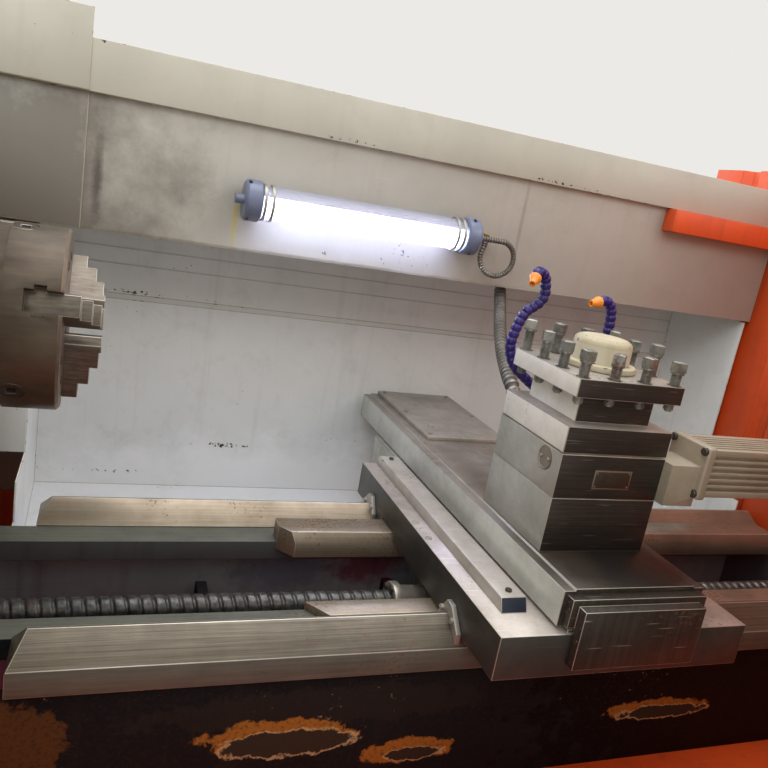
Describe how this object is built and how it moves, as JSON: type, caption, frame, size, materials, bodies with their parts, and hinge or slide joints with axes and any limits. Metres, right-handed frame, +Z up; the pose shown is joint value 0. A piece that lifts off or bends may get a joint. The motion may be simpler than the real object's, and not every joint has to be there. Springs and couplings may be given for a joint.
{
  "type": "cnc turning lathe",
  "caption": "Flat-bed turning lathe under numerical control, with a jaw chuck, a square indexing tool turret on a cross slide, coolant hoses, work lamp, guards and a sliding door.",
  "frame": {"origin": "on the floor, under the centre of the machine's footprint", "axes": "+X along the spindle from the headstock towards the free end of the bed, +Y to the back, +Z up"},
  "size_m": [2.69, 1.4368, 1.7],
  "materials": {
    "cream_enamel": "semi-gloss, chipped at the edges",
    "orange_enamel": "semi-gloss",
    "black_enamel": "worn, peeling in places",
    "ground_steel": "ground, with light rust",
    "oiled_steel": "oiled and stained",
    "dark_steel": "dark and oily",
    "cast_aluminium": "as cast",
    "galvanised_steel": "galvanised",
    "indigo_acetal": "gloss",
    "clear_tube": "clear",
    "smoked_glass": "smoked",
    "clear_polycarbonate": "clear",
    "grey_plastic": "matt",
    "red_plastic": "gloss"
  },
  "bodies": {
    "base": {"stand_left": "cream_enamel", "stand_right": "cream_enamel", "chip_tray": "orange_enamel", "bed": "black_enamel", "front_way": "ground_steel", "rear_way": "ground_steel", "tail_way_front": "ground_steel", "tail_way_rear": "ground_steel", "headstock": "cream_enamel", "headstock_casing": "cream_enamel", "z_motor": "dark_steel", "guard_upper": "cream_enamel", "guard_pan": "cream_enamel", "end_wall": "orange_enamel", "front_apron": "cream_enamel", "front_panel_left": "cream_enamel", "front_panel_right": "cream_enamel", "front_beam": "cream_enamel", "operator_box": "cream_enamel", "screen": "smoked_glass", "lamp_tube": "clear_tube", "lamp_cap_left": "grey_plastic", "lamp_cap_right": "grey_plastic", "lamp_conduit": "galvanised_steel", "electrical_cabinet": "cream_enamel"},
    "emergency_stop": {"emergency_stop": "red_plastic"},
    "handwheel": {"handwheel": "grey_plastic"},
    "spindle": {"spindle": "dark_steel", "chuck_body": "oiled_steel"},
    "jaw_1": {"jaw_1": "ground_steel"},
    "jaw_2": {"jaw_2": "ground_steel"},
    "jaw_3": {"jaw_3": "ground_steel"},
    "pinion_1": {"chuck_pinion_1": "dark_steel"},
    "pinion_2": {"chuck_pinion_2": "dark_steel"},
    "pinion_3": {"chuck_pinion_3": "dark_steel"},
    "saddle": {"saddle": "oiled_steel", "way_wiper_front_left": "galvanised_steel", "way_wiper_front_right": "galvanised_steel", "way_wiper_rear_left": "galvanised_steel", "way_wiper_rear_right": "galvanised_steel", "trip_bar": "ground_steel", "x_motor": "dark_steel", "z_nut": "ground_steel", "conduit_trolley": "grey_plastic"},
    "z_screw": {"z_ball_screw": "ground_steel"},
    "x_screw": {"x_ball_screw": "ground_steel"},
    "cross_slide": {"cross_slide": "ground_steel", "slide_rear_plate": "ground_steel", "slide_front_cover": "ground_steel", "turret_riser": "oiled_steel", "turret_base": "oiled_steel", "motor_adapter": "cast_aluminium", "turret_motor": "cast_aluminium", "coolant_hose_left": "indigo_acetal", "coolant_hose_right": "indigo_acetal", "conduit": "galvanised_steel"},
    "tool_head": {"tool_head": "ground_steel", "turret_cap": "cream_enamel"},
    "door": {"door_panel": "cream_enamel", "door_window": "clear_polycarbonate"}
  },
  "joints": [
    {"name": "spindle_turn", "type": "hinge", "parent": "base", "child": "spindle", "pos_m": [0, 0, 1.1499], "axis": [1, 0, 0], "continuous": true},
    {"name": "z_slide", "type": "slide", "parent": "base", "child": "saddle", "axis": [1, 0, 0], "range_m": [-0.55, 0.36]},
    {"name": "z_screw_turn", "type": "hinge", "parent": "base", "child": "z_screw", "pos_m": [0, -0.045, 0.722], "axis": [1, 0, 0], "continuous": true},
    {"name": "x_slide", "type": "slide", "parent": "saddle", "child": "cross_slide", "axis": [0, -1, 0], "range_m": [0, 0.21], "deforming": ["conduit"]},
    {"name": "x_screw_turn", "type": "hinge", "parent": "saddle", "child": "x_screw", "pos_m": [0.496, 0, 0.8204], "axis": [0, 1, 0], "continuous": true},
    {"name": "turret_index", "type": "hinge", "parent": "cross_slide", "child": "tool_head", "pos_m": [0.489, -0.121, 1.07], "axis": [0, 0, 1], "continuous": true},
    {"name": "door_slide", "type": "slide", "parent": "base", "child": "door", "axis": [1, 0, 0], "range_m": [0, 0.91]},
    {"name": "emergency_stop_press", "type": "slide", "parent": "base", "child": "emergency_stop", "axis": [0, 1, 0], "range_m": [0, 0.005]},
    {"name": "handwheel_turn", "type": "hinge", "parent": "base", "child": "handwheel", "pos_m": [0.94, -0.7, 1.14], "axis": [0, -1, 0], "continuous": true},
    {"name": "jaw_1_slide", "type": "slide", "parent": "spindle", "child": "jaw_1", "axis": [0, -0.9336, 0.3584], "range_m": [-0.008, 0.03]},
    {"name": "jaw_2_slide", "type": "slide", "parent": "spindle", "child": "jaw_2", "axis": [0, 0.1564, -0.9877], "range_m": [-0.008, 0.03]},
    {"name": "jaw_3_slide", "type": "slide", "parent": "spindle", "child": "jaw_3", "axis": [0, 0.7771, 0.6293], "range_m": [-0.008, 0.03]},
    {"name": "pinion_1_turn", "type": "hinge", "parent": "spindle", "child": "pinion_1", "pos_m": [-0.3574, -0.09637, 1.07186], "axis": [0, -0.7771, -0.6293], "continuous": true},
    {"name": "pinion_2_turn", "type": "hinge", "parent": "spindle", "child": "pinion_2", "pos_m": [-0.3574, 0.11576, 1.10546], "axis": [0, 0.9336, -0.3584], "continuous": true},
    {"name": "pinion_3_turn", "type": "hinge", "parent": "spindle", "child": "pinion_3", "pos_m": [-0.3574, -0.0194, 1.27237], "axis": [0, -0.1564, 0.9877], "continuous": true}
  ],
  "couplings": [
    {"joint": "z_screw_turn", "follows": "z_slide", "rad_per_m": 628.32},
    {"joint": "x_screw_turn", "follows": "x_slide", "rad_per_m": 1256.6},
    {"joint": "jaw_2_slide", "follows": "jaw_1_slide", "ratio": 1},
    {"joint": "jaw_3_slide", "follows": "jaw_1_slide", "ratio": 1},
    {"joint": "pinion_1_turn", "follows": "jaw_1_slide", "rad_per_m": 628.32},
    {"joint": "pinion_2_turn", "follows": "jaw_1_slide", "rad_per_m": 628.32},
    {"joint": "pinion_3_turn", "follows": "jaw_1_slide", "rad_per_m": 628.32}
  ]
}
